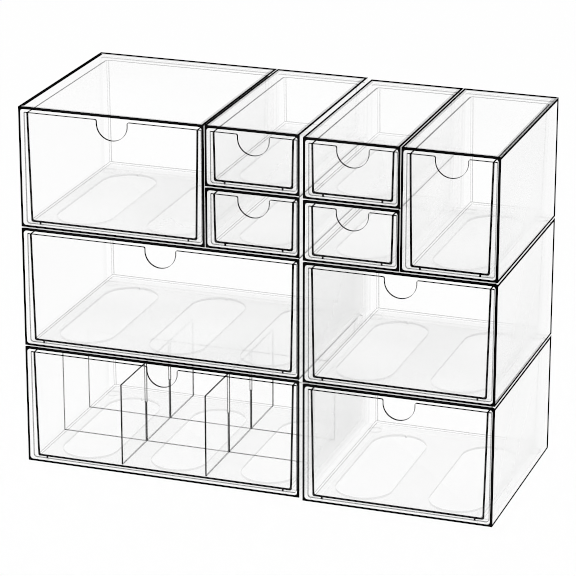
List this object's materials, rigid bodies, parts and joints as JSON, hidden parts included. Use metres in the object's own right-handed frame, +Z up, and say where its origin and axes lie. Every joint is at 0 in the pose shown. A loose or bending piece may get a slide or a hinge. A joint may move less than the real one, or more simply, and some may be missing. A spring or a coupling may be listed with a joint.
{
  "type": "stacking drawer organizer",
  "caption": "Stack of clear plastic drawer boxes in three rows for craft stamps, each drawer sliding out by a thumb notch, one drawer split by removable dividers.",
  "frame": {"origin": "on the surface the stack stands on, under the middle of the whole stack", "axes": "+X to the right along the drawer fronts, +Y from the fronts to the back, +Z up"},
  "size_m": [0.509, 0.2246, 0.39],
  "materials": {
    "clear_casing": "clear polished polystyrene",
    "clear_drawer": "clear polished polystyrene",
    "clear_sheet": "clear smooth sheet",
    "clear_rubber": "clear soft rubber"
  },
  "bodies": {
    "stack": {"bottom_left_casing": "clear_casing", "bottom_left_feet": "clear_rubber", "bottom_right_casing": "clear_casing", "bottom_right_feet": "clear_rubber", "middle_left_casing": "clear_casing", "middle_left_feet": "clear_rubber", "middle_right_casing": "clear_casing", "middle_right_feet": "clear_rubber", "top_wide_casing": "clear_casing", "top_wide_feet": "clear_rubber", "small_left_lower_casing": "clear_casing", "small_left_lower_feet": "clear_rubber", "small_left_upper_casing": "clear_casing", "small_left_upper_feet": "clear_rubber", "small_right_lower_casing": "clear_casing", "small_right_lower_feet": "clear_rubber", "small_right_upper_casing": "clear_casing", "small_right_upper_feet": "clear_rubber", "top_tall_casing": "clear_casing", "top_tall_feet": "clear_rubber"},
    "bottom_left_drawer": {"bottom_left_drawer": "clear_drawer", "divider_across_front": "clear_sheet", "divider_across_back": "clear_sheet", "divider_along_left": "clear_sheet", "divider_along_right": "clear_sheet"},
    "bottom_right_drawer": {"bottom_right_drawer": "clear_drawer"},
    "middle_left_drawer": {"middle_left_drawer": "clear_drawer"},
    "middle_right_drawer": {"middle_right_drawer": "clear_drawer"},
    "top_wide_drawer": {"top_wide_drawer": "clear_drawer"},
    "small_left_lower_drawer": {"small_left_lower_drawer": "clear_drawer"},
    "small_left_upper_drawer": {"small_left_upper_drawer": "clear_drawer"},
    "small_right_lower_drawer": {"small_right_lower_drawer": "clear_drawer"},
    "small_right_upper_drawer": {"small_right_upper_drawer": "clear_drawer"},
    "top_tall_drawer": {"top_tall_drawer": "clear_drawer"}
  },
  "joints": [
    {"name": "bottom_left_slide", "type": "slide", "parent": "stack", "child": "bottom_left_drawer", "axis": [0, -1, 0], "range_m": [0, 0.2]},
    {"name": "bottom_right_slide", "type": "slide", "parent": "stack", "child": "bottom_right_drawer", "axis": [0, -1, 0], "range_m": [0, 0.2]},
    {"name": "middle_left_slide", "type": "slide", "parent": "stack", "child": "middle_left_drawer", "axis": [0, -1, 0], "range_m": [0, 0.2]},
    {"name": "middle_right_slide", "type": "slide", "parent": "stack", "child": "middle_right_drawer", "axis": [0, -1, 0], "range_m": [0, 0.2]},
    {"name": "top_wide_slide", "type": "slide", "parent": "stack", "child": "top_wide_drawer", "axis": [0, -1, 0], "range_m": [0, 0.2]},
    {"name": "small_left_lower_slide", "type": "slide", "parent": "stack", "child": "small_left_lower_drawer", "axis": [0, -1, 0], "range_m": [0, 0.2]},
    {"name": "small_left_upper_slide", "type": "slide", "parent": "stack", "child": "small_left_upper_drawer", "axis": [0, -1, 0], "range_m": [0, 0.2]},
    {"name": "small_right_lower_slide", "type": "slide", "parent": "stack", "child": "small_right_lower_drawer", "axis": [0, -1, 0], "range_m": [0, 0.2]},
    {"name": "small_right_upper_slide", "type": "slide", "parent": "stack", "child": "small_right_upper_drawer", "axis": [0, -1, 0], "range_m": [0, 0.2]},
    {"name": "top_tall_slide", "type": "slide", "parent": "stack", "child": "top_tall_drawer", "axis": [0, -1, 0], "range_m": [0, 0.2]}
  ]
}
